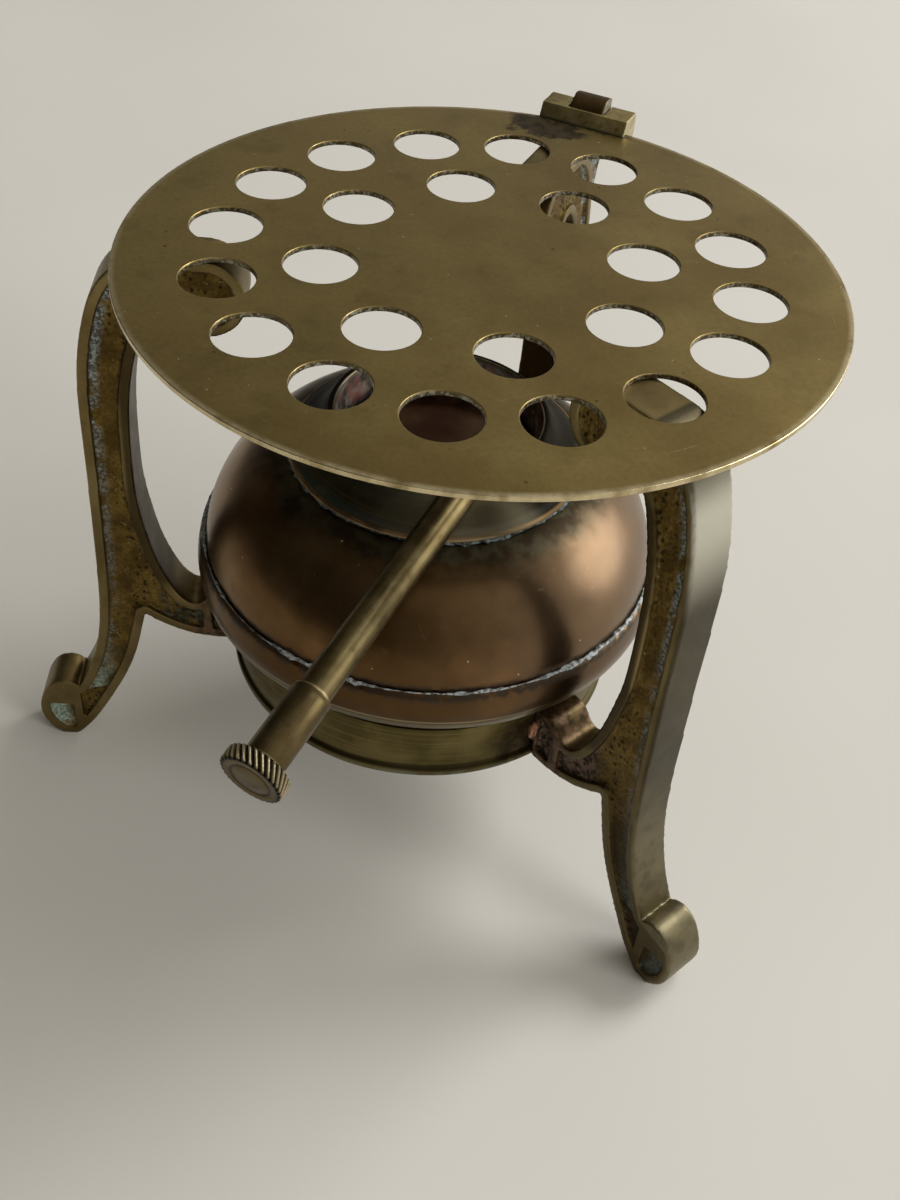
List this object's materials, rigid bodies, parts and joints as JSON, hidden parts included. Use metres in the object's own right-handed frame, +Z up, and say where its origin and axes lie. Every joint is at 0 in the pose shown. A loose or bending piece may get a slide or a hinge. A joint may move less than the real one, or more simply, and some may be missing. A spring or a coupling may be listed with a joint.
{
  "type": "portable spirit stove",
  "caption": "Portable brass spirit stove: legged stand with a hinged perforated plate over a loose copper lamp with a knob-regulated flame disc.",
  "frame": {"origin": "on the ground under the lamp's axis, midway among the feet", "axes": "+Z up, square to the plate; +Y toward the back leg and the plate's hinge; the handle points toward -Y"},
  "size_m": [0.1559, 0.1671, 0.1279],
  "materials": {
    "cast_brass": "aged cast brass, pitted panels",
    "spun_brass": "satin, aged",
    "plate_brass": "satin, finely scratched, aged",
    "hinge_brass": "satin",
    "copper": "aged copper, half gloss",
    "turned_brass": "turned",
    "handle_brass": "satin, drawn tube",
    "steel": "drawn wire",
    "burnt_brass": "browned by heat",
    "gasket": "dark washer",
    "cotton": "woven cotton"
  },
  "bodies": {
    "stand": {"back_leg": "cast_brass", "left_leg": "cast_brass", "right_leg": "cast_brass", "lamp_ring": "spun_brass"},
    "plate": {"top_plate": "plate_brass", "hinge_knuckle": "hinge_brass", "hinge_pin": "hinge_brass"},
    "lamp": {"tank_lower": "copper", "tank_upper": "copper", "neck_bush": "turned_brass", "burner_gasket": "gasket", "burner_thread": "turned_brass", "burner_cone": "spun_brass", "burner_cup": "spun_brass", "wick_core": "spun_brass", "wick": "cotton", "handle_tube": "handle_brass", "handle_ferrule": "handle_brass", "inner_bush": "turned_brass", "outer_bush": "turned_brass"},
    "regulator": {"knob": "handle_brass", "spindle": "steel", "spindle_collar": "turned_brass", "pinion": "turned_brass"},
    "disc": {"flame_disc": "burnt_brass", "disc_stem": "turned_brass", "disc_rack": "turned_brass"}
  },
  "joints": [
    {"name": "plate_swing", "type": "hinge", "parent": "stand", "child": "plate", "pos_m": [0, 0.06829, 0.124], "axis": [-1, 0, 0], "range_deg": [0, 110]},
    {"name": "lamp_lift", "type": "slide", "parent": "stand", "child": "lamp", "axis": [0, 0, 1], "range_m": [0, 0.018]},
    {"name": "knob_turn", "type": "hinge", "parent": "lamp", "child": "regulator", "pos_m": [0.0136, -0.00095, 0.0926], "axis": [0.0687, 0.9824, 0.1736], "range_deg": [0, 90]},
    {"name": "disc_lift", "type": "slide", "parent": "lamp", "child": "disc", "axis": [0, 0, 1], "range_m": [0, 0.00319]}
  ],
  "couplings": [
    {"joint": "knob_turn", "follows": "disc_lift", "rad_per_m": 492.4}
  ]
}
